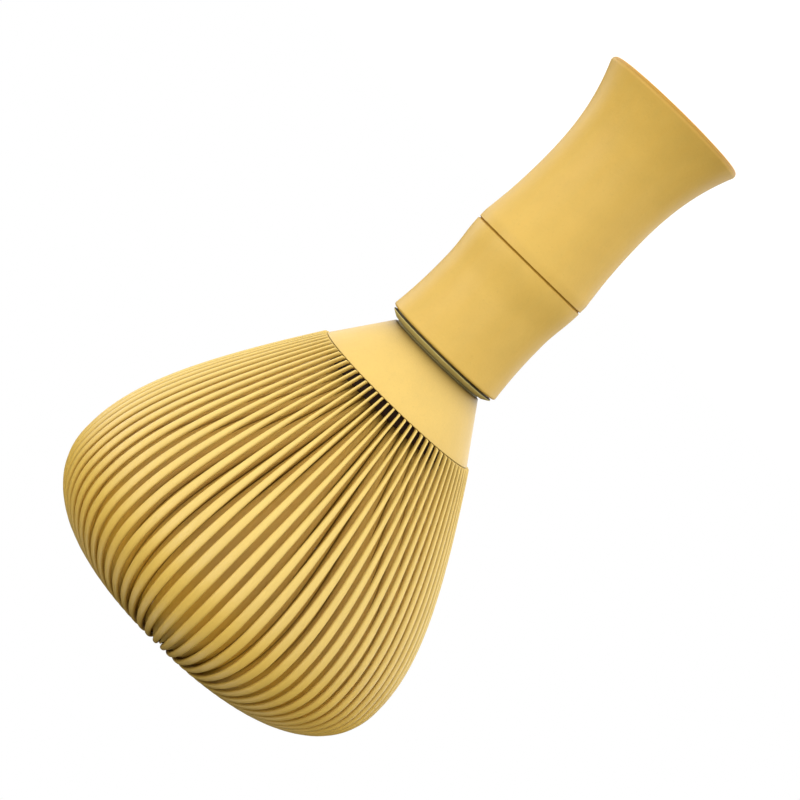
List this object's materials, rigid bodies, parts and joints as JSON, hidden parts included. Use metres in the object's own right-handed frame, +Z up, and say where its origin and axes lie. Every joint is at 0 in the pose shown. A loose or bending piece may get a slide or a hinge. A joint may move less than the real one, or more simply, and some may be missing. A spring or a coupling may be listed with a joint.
{
  "type": "tea whisk",
  "caption": "Moulded tea whisk: a bell of fine turned-in tines around inner tines, on a conical collar that pulls off a waisted handle with a flared end.",
  "frame": {"origin": "centre of the flat end of the handle, on which the whisk stands", "axes": "+Z up along the handle to the tines; the whisk is the same all round Z"},
  "size_m": [0.0684, 0.0684, 0.1205],
  "materials": {
    "grip_resin": "satin moulded, bamboo coloured",
    "collar_resin": "satin moulded, pale bamboo coloured",
    "tine_resin": "satin moulded, golden",
    "inner_resin": "satin moulded, brown",
    "seal_rubber": "matt, olive",
    "dark_rubber": "matt, nearly black",
    "core_resin": "satin moulded, dark brown"
  },
  "bodies": {
    "handle": {"grip_shell": "grip_resin", "end_cap": "grip_resin", "lower_sleeve": "grip_resin"},
    "head": {"seal_ring": "seal_rubber", "collar": "collar_resin", "spacer_ring": "dark_rubber", "core_stem": "core_resin", "lock_nut": "core_resin", "o_ring_upper": "dark_rubber", "o_ring_lower": "dark_rubber", "outer_tines_1": "tine_resin", "outer_tines_2": "tine_resin", "outer_tines_3": "tine_resin", "outer_tines_4": "tine_resin", "outer_tines_5": "tine_resin", "outer_tines_6": "tine_resin", "outer_tines_7": "tine_resin", "outer_tines_8": "tine_resin", "inner_tines_1": "inner_resin", "inner_tines_2": "inner_resin", "inner_tines_3": "inner_resin", "inner_tines_4": "inner_resin", "inner_tines_5": "inner_resin", "inner_tines_6": "inner_resin", "inner_tines_7": "inner_resin", "inner_tines_8": "inner_resin"}
  },
  "joints": [
    {"name": "head_pull", "type": "slide", "parent": "handle", "child": "head", "axis": [0, 0, 1], "range_m": [0, 0.045]}
  ]
}
